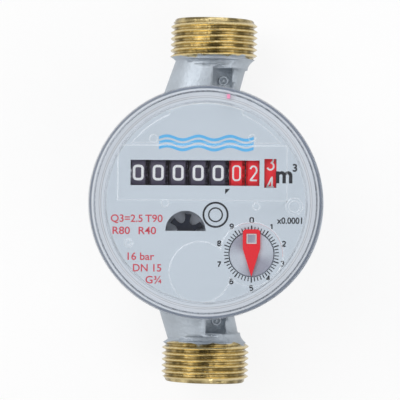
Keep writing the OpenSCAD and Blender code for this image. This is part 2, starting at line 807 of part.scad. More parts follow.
module pointer_outline() {
    tail = pointer_w / 2;
    top = pointer_tail - pointer_corner;
    flat = tail - pointer_corner;
    polygon([[0, -pointer_tip], [tail, pointer_shoulder], [tail, top],
        [-tail, top], [-tail, pointer_shoulder]]);
    for (side = [-1, 1]) translate([side * flat, top]) circle(r = pointer_corner);
    translate([-flat, top - over]) square([2 * flat, pointer_corner + over]);
}

module pointer() color("crimson") on_register() at(pointer_at, pointer_z) difference() {
    linear_extrude(pointer_t) difference() {
        pointer_outline();
        translate([-opening_w / 2, opening_y[0]]) square(opening_w);
    }
    rod(top_spigot_r, -over, pointer_t - hub_skin);
}

module pointer_square() color("lightgray") on_register() at(pointer_at, pointer_z)
    translate([drop - opening_w / 2, opening_y[0] + drop])
        cube([opening_w - 2 * drop, opening_w - 2 * drop, 0.5 * pointer_t]);

module idler_wheel() color("white") on_register() at(idler_at, 0) {
    arbor(journal_top);
    wheel(idler_teeth, idler_turn, layer_a);
}

module worm_wheel_shaft() color("white") on_register() at(worm_at, 0) {
    rod(arbor_d / 2, arbor_z + drop, layer_a);
    rod(worm_shaft_r, layer_a, plate_z - turn_gap);
    rod(min(journal_d / 2, worm_shaft_r), plate_z - over, journal_top);
    wheel(take_off_teeth, worm_turn, layer_a);
    rod(worm_r, worm_bottom_z - worm_collar, worm_bottom_z);
}

// The worm's thread, as its cross section: the axial profile wrapped round the axis
module worm_section() {
    steps = 24;
    half = worm_tooth_w / 2;
    polygon([for (k = [0 : steps - 1])
        let (along = abs(k / steps - 0.5) * worm_lead,
             rise = (half - along) / tan(pressure_angle),
             r = worm_r + max(-worm_ded, min(worm_add, rise)))
        toward(360 * k / steps, r)]);
}

module drive_worm() color("white") on_register() at(worm_at, worm_bottom_z) difference() {
    turns = 2 * worm_half / worm_lead;
    // A gap of the thread faces the wheel at the height of its axle
    rotate(90 - 180 * turns)
        linear_extrude(2 * worm_half, twist = -360 * turns, slices = round(14 * turns), $fn = 12)
            worm_section();
    translate([0, 0, -over]) cylinder(r = worm_shaft_r + drop, h = 2 * worm_half + 2 * over);
}

// Counter

module carry_lock(i) {
    notch_dir = carry_dir + 36 * (shown[i] + 1.5);
    difference() {
        circle(r = lock_r);
        translate(toward(notch_dir, lock_r + lock_notch_out)) circle(r = lock_notch_r);
    }
    for (side = [-1, 1]) rotate(notch_dir + side * lock_pin_dir)
        translate([lock_r - lock_pin_in, -lock_pin[1] / 2]) square(lock_pin);
}

module drum(i) {
    gear_x = band_x(i) + band_w(i);
    last = drum_total - 1;
    color(is_black(i) ? "#202028" : "#d83a3a") on_register() difference() {
        union() {
            if (i > 0) on_axle(drum_x(i)) linear_extrude(lock_w) carry_lock(i);
            on_axle(band_x(i)) cylinder(r = drum_r, h = band_w(i));
            if (i < last) on_axle(gear_x) linear_extrude(carry_gear_w(i))
                spur(carry_gear_teeth, carry_m, carry_add, turn = carry_dir + 180 / carry_gear_teeth);
            if (i == last) on_axle(gear_x) cylinder(d = axle_d + worm_boss, h = worm_at[0] - gear_x);
            if (i == last) on_axle(worm_at[0] - worm_wheel_w / 2) linear_extrude(worm_wheel_w)
                spur(worm_wheel_teeth, worm_m, worm_add, thin = worm_play, turn = 180);
        }
        on_axle(drum_x(i) - over) cylinder(r = axle_d / 2 + run, h = cap_r);
    }
}

// Every tooth meets the wheel of the drum on the left, every other one also the disc of the drum on the right
module carry_pinion(i) color("ivory") on_register() difference() {
    from = band_x(i) + band_w(i) + pinion_play;
    to = band_x(i + 1) - pinion_play;
    short_to = drum_x(i + 1) - drum_gap / 2;
    union() {
        on_axle(from, carry_at) linear_extrude(short_to - from)
            spur(carry_pinion_teeth, carry_m, carry_add, turn = carry_dir + 180);
        on_axle(from, carry_at) linear_extrude(to - from)
            spur(carry_pinion_teeth, carry_m, carry_add, turn = carry_dir + 180, kept = [1, 3, 5, 7]);
    }
    on_axle(from - over, carry_at) cylinder(r = carry_axle_d / 2 + run, h = to - from + 2 * over);
}

body();
inlet_strainer();
lower_pivot();
impeller();
impeller_magnet();
head_plate();
upper_pivot();
head_seal();
magnet_shield();
clamp_ring();
lock_ring();
register_base();
magnet_pin();
magnet_wheel();
driven_magnet();
star_wheel();
flow_star();
middle_wheel();
pointer_wheel();
pointer_disc();
pointer();
pointer_square();
idler_wheel();
worm_wheel_shaft();
drive_worm();
gear_plate();
axle_frame();
drum_axle();
carry_axle();
dial();
dial_cover();
cap_gasket();
clear_cap();
lock_tab();
for (i = [0 : drum_total - 1])
    drum(i);
for (i = [0 : drum_total - 2])
    carry_pinion(i);
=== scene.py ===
import json
import math

import bpy
from mathutils import Euler, Matrix, Vector


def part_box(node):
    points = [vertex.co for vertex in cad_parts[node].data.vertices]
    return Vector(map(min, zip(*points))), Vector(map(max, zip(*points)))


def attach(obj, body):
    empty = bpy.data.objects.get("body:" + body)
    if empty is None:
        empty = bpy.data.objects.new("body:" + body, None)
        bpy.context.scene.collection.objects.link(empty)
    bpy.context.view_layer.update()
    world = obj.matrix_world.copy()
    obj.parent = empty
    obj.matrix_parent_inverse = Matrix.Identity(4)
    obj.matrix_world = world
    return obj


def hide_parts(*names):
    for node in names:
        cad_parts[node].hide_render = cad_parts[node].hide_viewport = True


# Looks of a single-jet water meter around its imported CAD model.
# Metres, with the pipe along Y and the dial facing up.

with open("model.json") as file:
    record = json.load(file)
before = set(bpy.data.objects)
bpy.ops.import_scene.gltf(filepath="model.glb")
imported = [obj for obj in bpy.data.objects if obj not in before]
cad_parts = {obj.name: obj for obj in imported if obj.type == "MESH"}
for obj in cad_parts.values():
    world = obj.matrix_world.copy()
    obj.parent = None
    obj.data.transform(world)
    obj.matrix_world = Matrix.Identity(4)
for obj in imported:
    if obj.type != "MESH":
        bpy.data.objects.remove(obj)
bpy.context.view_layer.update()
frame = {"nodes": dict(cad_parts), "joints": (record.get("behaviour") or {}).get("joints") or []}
MM = 0.001
nodes = frame["nodes"]
joints = {j["name"]: j for j in frame["joints"]}

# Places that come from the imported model

register_at = Vector(joints["register_turn"]["pos_m"])
drum_axis = Vector(joints["drum_1_spin"]["axis"])
register_angle = math.atan2(drum_axis.y, drum_axis.x)
to_register = Matrix.Translation((register_at.x, register_at.y, 0)) @ Matrix.Rotation(register_angle, 4, "Z")
from_register = to_register.inverted()
axle_at = from_register @ Vector(joints["drum_1_spin"]["pos_m"])
pointer_at = from_register @ Vector(joints["pointer_spin"]["pos_m"])
star_at = from_register @ Vector(joints["star_spin"]["pos_m"])
dial_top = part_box("dial")[1].z

# Modelling by hand

MERGE, FINE_MERGE, CAD_MERGE = 1e-7, 1e-8, 2e-7
CUT_TOLERANCE = 1e-6


def deselect():
    if bpy.context.object and bpy.context.object.mode != "OBJECT":
        bpy.ops.object.mode_set(mode="OBJECT")
    bpy.ops.object.select_all(action="DESELECT")


def pick(*objects):
    deselect()
    for o in objects:
        o.select_set(True)
    bpy.context.view_layer.objects.active = objects[0]
    return objects[0]


def edit(o):
    pick(o)
    bpy.ops.object.mode_set(mode="EDIT")
    bpy.ops.mesh.select_all(action="SELECT")


def leave():
    bpy.ops.object.mode_set(mode="OBJECT")
    return bpy.context.object


def apply_place(o):
    pick(o)
    bpy.ops.object.transform_apply(location=True, rotation=True, scale=True)
    return o


def place(o, matrix):
    o.matrix_world = matrix @ o.matrix_world
    return apply_place(o)


def joined(name, pieces):
    o = pick(*pieces)
    if len(pieces) > 1:
        bpy.ops.object.join()
    o.name = name
    return o


def modify(o, kind, **values):
    pick(o)
    m = o.modifiers.new(kind.lower(), kind)
    for key, value in values.items():
        setattr(m, key, value)
    bpy.ops.object.modifier_apply(modifier=m.name)


def combine(o, operation, other):
    """A boolean with another solid, which is used up."""
    modify(o, "BOOLEAN", operation=operation, object=other, solver="EXACT")
    bpy.data.objects.remove(other)


def eased(o, width, degrees):
    """Rounds the edges that are sharper than an angle."""
    modify(o, "BEVEL", width=width, segments=2, limit_method="ANGLE", angle_limit=math.radians(degrees))


def clean(o, distance=MERGE):
    edit(o)
    bpy.ops.mesh.remove_doubles(threshold=distance)
    bpy.ops.mesh.normals_make_consistent(inside=False)
    return leave()


def smooth(o, degrees):
    pick(o)
    bpy.ops.object.shade_smooth_by_angle(angle=math.radians(degrees))


def cut_across(y, side):
    """Cuts the mesh in edit mode across the pipe, drops what lies beyond on that side and closes the cut."""
    bpy.ops.mesh.select_all(action="SELECT")
    bpy.ops.mesh.bisect(plane_co=(0, y, 0), plane_no=(0, side, 0), use_fill=True, clear_outer=True,
                        threshold=CUT_TOLERANCE)


def outline(name, points, closed=False):
    """A plane drawn together into one point, and that point extruded from place to place."""
    deselect()
    bpy.ops.mesh.primitive_plane_add(size=MM)
    o = bpy.context.object
    o.name = name
    points = [Vector(p) for p in points]
    edit(o)
    bpy.ops.mesh.merge(type="CENTER")
    bpy.ops.transform.translate(value=points[0])
    for a, b in zip(points, points[1:] + points[:1] if closed else points[1:]):
        bpy.ops.mesh.extrude_vertices_move(TRANSFORM_OT_translate={"value": b - a})
    if closed:
        bpy.ops.mesh.select_all(action="SELECT")
        bpy.ops.mesh.remove_doubles(threshold=MERGE)
    return leave()


def turned(name, points, axis, steps, centre=(0, 0, 0)):
    """A closed outline spun into a solid of revolution."""
    o = outline(name, points, closed=True)
    edit(o)
    bpy.ops.mesh.spin(steps=steps, angle=2 * math.pi, center=centre, axis=axis)
    bpy.ops.mesh.select_all(action="SELECT")
    bpy.ops.mesh.remove_doubles(threshold=MERGE)
    bpy.ops.mesh.delete_loose()
    bpy.ops.mesh.select_all(action="SELECT")
    bpy.ops.mesh.normals_make_consistent(inside=False)
    return leave()


def slab(name, points, low, high):
    """A flat outline in millimetres, filled and raised from one height to another."""
    o = outline(name, [(x * MM, y * MM, low) for x, y in points], closed=True)
    edit(o)
    bpy.ops.mesh.edge_face_add()
    bpy.ops.mesh.extrude_region_move(TRANSFORM_OT_translate={"value": (0, 0, high - low)})
    bpy.ops.mesh.select_all(action="SELECT")
    bpy.ops.mesh.normals_make_consistent(inside=False)
    return leave()


def copied(node, name):
    """A free copy of a CAD node's mesh."""
    deselect()
    o = nodes[node].copy()
    o.data = nodes[node].data.copy()
    o.parent = None
    for key in [k for k in o.keys() if k.startswith("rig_")]:
        del o[key]
    bpy.context.scene.collection.objects.link(o)
    o.name = name
    return clean(o, CAD_MERGE)


def finished(o, body, material, replaced=()):
    o.data.materials.clear()
    o.data.materials.append(material)
    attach(o, body)
    if replaced:
        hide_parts(*replaced)


# Wiring of shader nodes

class Wiring:
    """Short ways to add nodes to a tree and join them."""

    def __init__(self, tree):
        self.tree = tree

    def feed(self, socket, value):
        if isinstance(value, bpy.types.NodeSocket):
            self.tree.links.new(value, socket)
        else:
            socket.default_value = value

    def add(self, kind, values=(), **settings):
        n = self.tree.nodes.new("ShaderNode" + kind)
        for key, value in settings.items():
            setattr(n, key, value)
        for key, value in dict(values).items():
            self.feed(n.inputs[key], value)
        return n

    def math(self, operation, a, b=0.0, clamp=False):
        return self.add("Math", {0: a, 1: b}, operation=operation, use_clamp=clamp).outputs[0]

    def mix(self, factor, a, b):
        return self.add("Mix", {0: factor, 6: a, 7: b}, data_type="RGBA").outputs[2]

    def blend(self, factor, a, b):
        return self.add("Mix", {0: factor, 2: a, 3: b}, data_type="FLOAT").outputs[0]

    def between(self, value, low, high, to_low=0.0, to_high=1.0):
        return self.add("MapRange", {0: value, 1: low, 2: high, 3: to_low, 4: to_high}).outputs[0]

    def length(self, a, b):
        return self.math("SQRT", self.math("ADD", self.math("MULTIPLY", a, a), self.math("MULTIPLY", b, b)))

    def noise(self, vector, scale, detail):
        return self.add("TexNoise", {"Vector": vector, "Scale": scale, "Detail": detail}).outputs["Fac"]

    def bumped(self, height, strength, distance):
        return self.add("Bump", {"Height": height, "Strength": strength, "Distance": distance}).outputs[0]


class Finish(Wiring):
    """A new material, with the object's coordinates and an output."""

    def __init__(self, name):
        self.material = bpy.data.materials.new(name)
        self.material.use_nodes = True
        super().__init__(self.material.node_tree)
        self.tree.nodes.clear()
        self.place = self.add("TexCoord").outputs["Object"]
        self.out = self.add("OutputMaterial")

    def worn(self, colour, change, rough, rough_change, stretch=(1, 1, 1), patch=120.0, grain=2500.0):
        n = self.tree.nodes.new("ShaderNodeGroup")
        n.node_tree = worn_surface
        for key, value in (("Vector", self.place), ("Colour", (*colour, 1)), ("Colour Change", change),
                           ("Roughness", rough), ("Roughness Change", rough_change), ("Stretch", stretch),
                           ("Patch Scale", patch), ("Grain Scale", grain)):
            self.feed(n.inputs[key], value)
        return n.outputs

    def round_axis(self, centre):
        """Both offsets from an upright axis, and the distance from it."""
        where = self.add("SeparateXYZ", {0: self.place}).outputs
        dx = self.math("SUBTRACT", where["X"], centre.x)
        dy = self.math("SUBTRACT", where["Y"], centre.y)
        return dx, dy, self.length(dx, dy)

    def done(self, shader):
        self.tree.links.new(shader.outputs[0], self.out.inputs[0])
        return self.material


def worn_surface_group():
    """Colour and gloss that wander over a surface, with a fine grain for its bump."""
    g = bpy.data.node_groups.new("worn_surface", "ShaderNodeTree")
    for label, kind, value in (
            ("Vector", "NodeSocketVector", (0, 0, 0)), ("Colour", "NodeSocketColor", (1, 1, 1, 1)),
            ("Colour Change", "NodeSocketFloat", 0.05), ("Roughness", "NodeSocketFloat", 0.4),
            ("Roughness Change", "NodeSocketFloat", 0.1), ("Stretch", "NodeSocketVector", (1, 1, 1)),
            ("Patch Scale", "NodeSocketFloat", 120.0), ("Grain Scale", "NodeSocketFloat", 2500.0)):
        g.interface.new_socket(label, in_out="INPUT", socket_type=kind).default_value = value
    for label, kind in (("Colour", "NodeSocketColor"), ("Roughness", "NodeSocketFloat"),
                        ("Height", "NodeSocketFloat")):
        g.interface.new_socket(label, in_out="OUTPUT", socket_type=kind)
    w = Wiring(g)
    i = g.nodes.new("NodeGroupInput").outputs
    end = g.nodes.new("NodeGroupOutput").inputs
    patch_share, grain_share = 0.7, 0.3
    stretched = w.add("VectorMath", {0: i["Vector"], 1: i["Stretch"]}, operation="MULTIPLY").outputs[0]
    patches = w.noise(stretched, i["Patch Scale"], 4.0)
    grain = w.noise(stretched, i["Grain Scale"], 2.0)
    both = w.math("ADD", w.math("MULTIPLY", patches, patch_share), w.math("MULTIPLY", grain, grain_share))
    swing = w.math("MULTIPLY", w.math("SUBTRACT", both, 0.5), 2.0)
    level = w.math("ADD", w.math("MULTIPLY", swing, i["Colour Change"]), 1.0)
    scaled = w.add("VectorMath", {0: i["Colour"], "Scale": level}, operation="SCALE").outputs[0]
    rough = w.math("ADD", w.math("MULTIPLY", swing, i["Roughness Change"]), i["Roughness"], clamp=True)
    for label, value in (("Colour", scaled), ("Roughness", rough), ("Height", grain)):
        w.feed(end[label], value)
    return g


worn_surface = worn_surface_group()

# Finishes

PIPE_HEIGHT = 16 * MM
GRAIN_DEPTH = 0.0001


def plain_finish(name, colour, change=0.05, rough=0.4, rough_change=0.1, bump=0.05, metallic=0.0, specular=0.5,
                 **pattern):
    """A moulded, cast or drawn surface: one colour that wanders, with a grain."""
    w = Finish(name)
    s = w.worn(colour, change, rough, rough_change, **pattern)
    return w.done(w.add("BsdfPrincipled", {
        "Base Color": s["Colour"], "Roughness": s["Roughness"], "Metallic": metallic, "Specular IOR Level": specular,
        "Normal": w.bumped(s["Height"], bump, GRAIN_DEPTH)}))


def coated_body_finish():
    """Silver coating over cast brass, worn off the threads with a ragged edge, with painted shade in the thread
    valleys.
    """
    coat_end, coat_swing, coat_fade = 43.4 * MM, 6.0 * MM, 0.15 * MM
    root, crest = 12.1 * MM, 13.0 * MM
    coat_metal, brass_cast = 0.7, 0.15
    w = Finish("coated_body")
    x, y, z = w.add("SeparateXYZ", {0: w.place}).outputs
    ragged = w.math("SUBTRACT", w.noise(w.place, 90.0, 5.0), 0.5)
    edge = w.math("ADD", w.math("MULTIPLY", ragged, coat_swing), coat_end)
    bare = w.between(w.math("SUBTRACT", w.math("ABSOLUTE", y), edge), -coat_fade, coat_fade)
    # Painted shade: in the thread valleys the brass is mixed towards a dark tone, in blotches.
    valley = w.between(w.length(x, w.math("SUBTRACT", z, PIPE_HEIGHT)), root, crest, 1.0, 0.0)
    valley_blotches = w.between(w.noise(w.place, 260.0, 4.0), 0.3, 0.6)
    valley_shade = w.math("MULTIPLY", w.math("MULTIPLY", valley, valley_blotches), 0.85)
    silver = w.worn((0.435, 0.478, 0.525), 0.30, 0.52, 0.25, patch=170.0, grain=900.0)
    brass = w.worn((0.65, 0.53, 0.28), 0.10, 0.22, 0.08, stretch=(1, 12, 1), patch=90.0, grain=700.0)
    shaded_brass = w.mix(valley_shade, brass["Colour"], (0.09, 0.065, 0.02, 1))
    cast = w.math("MULTIPLY", w.noise(w.place, 380.0, 6.0), w.between(bare, 0.0, 1.0, 1.0, brass_cast))
    return w.done(w.add("BsdfPrincipled", {
        "Base Color": w.mix(bare, silver["Colour"], shaded_brass),
        "Roughness": w.blend(bare, silver["Roughness"], brass["Roughness"]),
        "Metallic": w.between(bare, 0.0, 1.0, coat_metal, 1.0),
        "Normal": w.bumped(w.math("ADD", cast, silver["Height"]), 0.45, 0.0004)}))


def clear_finish(name, painted_lines=(), walls=0.6, slope_highlight=0.0):
    """Clear plastic with painted shade where it is seen edge on, a painted highlight on faces sloping up, and
    painted rings round the register's axis.
    """
    refraction = 1.49
    w = Finish(name)
    radius = w.round_axis(register_at)[2]
    geometry = w.add("NewGeometry").outputs
    up = w.add("SeparateXYZ", {0: geometry["True Normal"]}).outputs["Z"]
    top = w.between(up, 0.3, 0.6)
    # Painted highlight: faces that slope upwards are mixed towards pale, as pale rings on bevels and pegs.
    pale = w.math("MULTIPLY", w.between(up, 0.15, 0.35, 0.0, slope_highlight), w.between(up, 0.9, 0.985, 1.0, 0.0))
    s = w.worn((0.40, 0.44, 0.50), 0.05, 0.05, 0.04, patch=70.0, grain=1500.0)
    # Painted shade: faces seen edge on are mixed towards a dark blue grey, standing for the dark refraction in the
    # walls.
    edge_on = w.between(w.add("LayerWeight", {"Blend": 0.5}).outputs["Facing"], 0.78, 0.95, 0.0, walls)
    colour = w.mix(edge_on, s["Colour"], (0.42, 0.50, 0.60, 1))
    colour = w.mix(w.math("GREATER_THAN", pale, edge_on), colour, (0.86, 0.89, 0.93, 1))
    share = w.math("MAXIMUM", edge_on, pale)
    # Painted rings round the axis on faces looking up: painted highlights, pale bands over shade and dark refraction
    # edges.
    for line_r, half, tone, strength in painted_lines:
        off = w.math("ABSOLUTE", w.math("SUBTRACT", radius, line_r * MM))
        line = w.math("MULTIPLY", w.between(off, 0.5 * half * MM, half * MM, strength, 0.0), top)
        colour = w.mix(line, colour, (*tone, 1))
        share = w.math("MAXIMUM", share, line)
    path = w.add("LightPath").outputs
    unlit = w.math("SUBTRACT", 1.0, w.math("MAXIMUM", path["Is Shadow Ray"], path["Is Diffuse Ray"]))
    outside = w.math("MULTIPLY", unlit, w.math("SUBTRACT", 1.0, geometry["Backfacing"]))
    mirrored = w.math("MULTIPLY", w.add("Fresnel", {"IOR": refraction}).outputs[0], outside)
    film = w.add("BsdfTransparent", {"Color": (0.992, 0.995, 0.998, 1)})
    shine = w.add("BsdfGlossy", {"Color": (1, 1, 1, 1), "Roughness": 0.04})
    surface = w.add("MixShader", {0: mirrored, 1: film.outputs[0], 2: shine.outputs[0]})
    tinted = w.add("BsdfPrincipled", {"Base Color": colour, "Roughness": s["Roughness"], "IOR": refraction,
                                      "Normal": w.bumped(s["Height"], 0.01, 0.00005)})
    return w.done(w.add("MixShader", {0: w.math("MULTIPLY", share, unlit), 1: surface.outputs[0],
                                      2: tinted.outputs[0]}))


def spun_disc_finish():
    """Bright metal disc with the fine rings of a lathe round the pointer's axle, and a painted sheen that goes
    lighter and darker with the angle round it.
    """
    ring_pitch, ring_depth = 0.12 * MM, 0.00002
    w = Finish("bright_metal")
    dx, dy, radius = w.round_axis(to_register @ pointer_at)
    # Painted highlight: the colour goes lighter and darker twice round the pointer's axle, standing for the turned
    # metal's reflection.
    sheen = w.math("SINE", w.math("ADD", w.math("MULTIPLY", w.math("ARCTAN2", dy, dx), 2.0), 0.6))
    s = w.worn((0.46, 0.47, 0.57), 0.05, 0.34, 0.08, patch=300.0, grain=3000.0)
    rings = w.math("SINE", w.math("MULTIPLY", radius, 2 * math.pi / ring_pitch))
    return w.done(w.add("BsdfPrincipled", {
        "Base Color": w.mix(w.between(sheen, -0.6, 0.8, 0.0, 0.8), s["Colour"], (0.80, 0.87, 0.96, 1)),
        "Roughness": s["Roughness"], "Metallic": 0.35, "Normal": w.bumped(rings, 0.06, ring_depth)}))


# Each painted ring of the cap, for highlights, pale bands over shade and dark refraction edges: radius and half
# width in millimetres, colour, strength
CAP_PAINTED_LINES = (
    (31.0, 0.9, (0.76, 0.81, 0.88), 0.78), (29.5, 0.55, (0.66, 0.72, 0.79), 0.75),
    (28.78, 0.2, (0.64, 0.70, 0.78), 0.55), (30.15, 0.28, (0.88, 0.91, 0.96), 0.7),
    (32.2, 0.42, (0.78, 0.83, 0.90), 0.75), (31.7, 0.17, (0.22, 0.25, 0.32), 0.38),
    (32.85, 0.45, (0.13, 0.16, 0.22), 0.85))
PLAIN_FINISHES = {
    "bare_brass": dict(colour=(0.74, 0.50, 0.16), change=0.12, rough=0.28, bump=0.08, metallic=1.0,
                       stretch=(1, 1, 9)),
    "steel": dict(colour=(0.56, 0.57, 0.58), change=0.06, rough=0.25, metallic=1.0, stretch=(1, 1, 12)),
    "magnet": dict(colour=(0.075, 0.075, 0.08), change=0.2, rough=0.6, rough_change=0.15, bump=0.2, metallic=0.3,
                   grain=4000.0),
    "white_plastic": dict(colour=(0.82, 0.82, 0.80), change=0.03, rough=0.42, rough_change=0.08),
    "ivory_plastic": dict(colour=(0.80, 0.76, 0.64), change=0.04, rough=0.42, rough_change=0.08),
    "grey_plastic": dict(colour=(0.36, 0.33, 0.36), change=0.06, rough=0.45),
    "pale_plastic": dict(colour=(0.62, 0.68, 0.76), change=0.03, rough=0.35, rough_change=0.08),
    "dial_silver": dict(colour=(0.665, 0.735, 0.81), change=0.035, rough=0.45, rough_change=0.08, bump=0.03,
                        stretch=(1, 14, 1), patch=60.0, grain=600.0),
    "mauve_plastic": dict(colour=(0.47, 0.50, 0.57), change=0.06),
    "navy_plastic": dict(colour=(0.010, 0.014, 0.028), change=0.15, rough=0.3),
    "dark_plastic": dict(colour=(0.075, 0.063, 0.105), change=0.15, rough=0.38, bump=0.06),
    "red_plastic": dict(colour=(0.92, 0.025, 0.04), rough_change=0.08, specular=0.3),
    "pink_plastic": dict(colour=(0.85, 0.30, 0.48), rough=0.35, rough_change=0.08),
    "rubber": dict(colour=(0.03, 0.03, 0.032), change=0.1, rough=0.7, bump=0.15),
    "pale_seal": dict(colour=(0.60, 0.63, 0.68), rough=0.55),
    "black_ink": dict(colour=(0.02, 0.022, 0.03), change=0.12, rough=0.45),
    "red_ink": dict(colour=(0.70, 0.075, 0.11), change=0.08, rough=0.45),
    "blue_ink": dict(colour=(0.14, 0.55, 0.97), change=0.04, rough=0.45),
    "pink_ink": dict(colour=(0.72, 0.45, 0.48), change=0.06, rough=0.45),
    "white_ink": dict(colour=(0.86, 0.87, 0.88), change=0.03, rough=0.45),
}
finishes = {name: plain_finish(name, **look) for name, look in PLAIN_FINISHES.items()}
finishes["coated_body"] = coated_body_finish()
finishes["bright_metal"] = spun_disc_finish()
finishes["clear_plastic"] = clear_finish("clear_plastic", CAP_PAINTED_LINES)
# The cover's painted highlight on sloping faces gives its bevels and pegs pale rings.
finishes["clear_cover"] = clear_finish("clear_cover", walls=0.12, slope_highlight=0.22)
for node in nodes.values():
    slot_name = node.data.materials[0].name.split(".")[0]
    node.data.materials[0] = finishes[slot_name]
nodes["cap_gasket"].data.materials[0] = finishes["pale_seal"]
nodes["gear_plate"].data.materials[0] = finishes["mauve_plastic"]

# Pipe body: the CAD casting up to the threads, and cut threads beyond

PIPE_END = 55 * MM
CUT = 42.75 * MM
THREAD_START = 43.5 * MM
THREAD_END = 53.3 * MM
RUN_OUT = 0.7 * MM
END_RUN_OUT = 1.0 * MM
END_CHAMFER = 0.35 * MM
THREAD_PITCH = 1.814 * MM
INLET_CREST = 44.41 * MM
OUTLET_CREST = 44.95 * MM
CREST_R = 13.2205 * MM
ROOT_R = 12.0585 * MM
LEAD_R = ROOT_R - 0.01 * MM
TIP_R = ROOT_R - 0.02 * MM
PORT_R = 7.2 * MM
STRAINER_R = 7.8 * MM
STRAINER_SEAT = 47 * MM
ROUND_STEPS, SMALL_STEPS = 96, 32

# One turn of the thread: share of the pitch, share of the depth
TOOTH = ((0.0, 0.0), (0.06, 0.0), (0.20, 0.35), (0.42, 0.92), (0.50, 1.0), (0.58, 0.92), (0.80, 0.35), (0.94, 0.0),
         (1.0, 0.0))
HELIX_TURNS, TURNS_BEFORE, TURNS_TRIMMED = 14, 4.5, 1.6


def helix(crest):
    """A long right-hand thread, closed at both ends, with a crest at that place on its +X side."""
    first = crest - TURNS_BEFORE * THREAD_PITCH
    points = [(ROOT_R + high * (CREST_R - ROOT_R), first + along * THREAD_PITCH, 0) for along, high in TOOTH]
    o = outline("helix", points)
    modify(o, "SCREW", axis="Y", angle=2 * math.pi, screw_offset=THREAD_PITCH, iterations=HELIX_TURNS,
           steps=ROUND_STEPS, render_steps=ROUND_STEPS, use_merge_vertices=True, merge_threshold=MERGE)
    edit(o)
    bpy.ops.mesh.remove_doubles(threshold=MERGE)
    cut_across(first + TURNS_TRIMMED * THREAD_PITCH, -1)
    cut_across(first + (HELIX_TURNS - TURNS_TRIMMED) * THREAD_PITCH, 1)
    leave()
    return clean(o)


def threaded_end(name, crest, inside):
    """A chamfered tube with a plain lead, whose outside is left by the helix."""
    outside = [(LEAD_R, CUT), (LEAD_R, THREAD_START - RUN_OUT), (CREST_R, THREAD_START), (CREST_R, THREAD_END),
               (TIP_R, THREAD_END + END_RUN_OUT), (TIP_R, PIPE_END - END_CHAMFER), (ROOT_R - END_CHAMFER, PIPE_END)]
    o = turned(name, [(r, y, 0) for r, y in outside + inside], (0, 1, 0), ROUND_STEPS)
    combine(o, "INTERSECT", helix(crest))
    return clean(o)


inlet = threaded_end("inlet_end", INLET_CREST, [(STRAINER_R, PIPE_END), (STRAINER_R, STRAINER_SEAT),
                                                (PORT_R, STRAINER_SEAT), (PORT_R, CUT)])
outlet = threaded_end("outlet_end", OUTLET_CREST, [(PORT_R, PIPE_END), (PORT_R, CUT)])
place(inlet, Matrix.Translation((0, 0, PIPE_HEIGHT)))
place(outlet, Matrix.Translation((0, 0, PIPE_HEIGHT)) @ Matrix.Rotation(math.pi, 4, "Z"))

casting = copied("body", "casting")
edit(casting)
for side in (-1, 1):
    cut_across(side * CUT, side)
leave()

# A round mark in each pocket, as left by the mould: inner and outer radius, slant of its inside

MARK_X, MARK_Y = 3.3 * MM, 36.2 * MM
MARK_LOW, MARK_HIGH = 22.0 * MM, 22.45 * MM
MARK_RINGS = ((0.95, 1.5, 0.1), (0.0, 0.4, 0.0))
MARK_TAPER = 0.1
marks = []
for side in (-1, 1):
    at = (MARK_X, side * MARK_Y, 0)
    for inner, outer, slant in MARK_RINGS:
        profile = ((inner, MARK_LOW), (outer, MARK_LOW), (outer - MARK_TAPER, MARK_HIGH), (inner + slant, MARK_HIGH))
        marks.append(turned("cast_mark", [(at[0] + r * MM, at[1], z) for r, z in profile], (0, 0, 1), SMALL_STEPS,
                            at))
meter_body = joined("meter_body", [casting, inlet, outlet, *marks])
smooth(meter_body, 35)
finished(meter_body, "case", finishes["coated_body"], ["body"])

# Numbers: strokes drawn in a box one high, each with its points and whether it is closed


def arc(cx, cy, rx, ry, start, stop, steps):
    angles = [math.radians(start + (stop - start) * k / steps) for k in range(steps + 1)]
    return [(cx + rx * math.cos(a), cy + ry * math.sin(a)) for a in angles]


HALF_W = 0.29
DIGITS = {
    0: (arc(HALF_W - 0.2, 0.3, 0.2, 0.2, 0, 90, 4) + arc(-HALF_W + 0.2, 0.3, 0.2, 0.2, 90, 180, 4)
        + arc(-HALF_W + 0.2, -0.3, 0.2, 0.2, 180, 270, 4) + arc(HALF_W - 0.2, -0.3, 0.2, 0.2, 270, 360, 4), True),
    1: ([(-0.2, 0.28), (0.05, 0.5), (0.05, 0.2), (0.05, -0.1), (0.05, -0.5)], False),
    2: (arc(0, 0.22, 0.27, 0.28, 165, -30, 9) + [(0.05, -0.15), (-0.27, -0.5), (0, -0.5), (0.29, -0.5)], False),
    3: (arc(0, 0.25, 0.24, 0.25, 150, -80, 8) + arc(0, -0.24, 0.28, 0.26, 80, -155, 9), False),
    4: ([(0.29, -0.24), (0, -0.24), (-0.29, -0.24), (-0.05, 0.15), (0.14, 0.5), (0.14, 0.1), (0.14, -0.2),
         (0.14, -0.5)], False),
    5: ([(0.25, 0.5), (0, 0.5), (-0.21, 0.5), (-0.23, 0.25), (-0.24, 0.05)]
        + arc(0, -0.19, 0.28, 0.31, 125, -150, 10), False),
    6: (arc(0.05, 0.15, 0.3, 0.35, 60, 150, 5) + arc(0, -0.2, 0.28, 0.3, 180, 540, 14), False),
    7: ([(-0.28, 0.5), (0, 0.5), (0.28, 0.5), (0.13, 0.15), (0.0, -0.15), (-0.1, -0.5)], False),
    8: (arc(0, 0.26, 0.23, 0.24, -90, 270, 12) + arc(0, -0.24, 0.28, 0.26, 90, -270, 13), False),
    9: (arc(-0.05, -0.15, 0.3, 0.35, 240, 330, 5) + arc(0, 0.2, 0.28, 0.3, 0, 360, 14), False),
}


def close_set(points, closed, step):
    """The same line with more points, none further apart than one step."""
    out = []
    for (ax, ay), (bx, by) in zip(points, points[1:] + points[:1] if closed else points[1:]):
        parts = max(1, math.ceil(math.hypot(bx - ax, by - ay) / step))
        out += [(ax + (bx - ax) * k / parts, ay + (by - ay) * k / parts) for k in range(parts)]
    return out if closed else out + points[-1:]


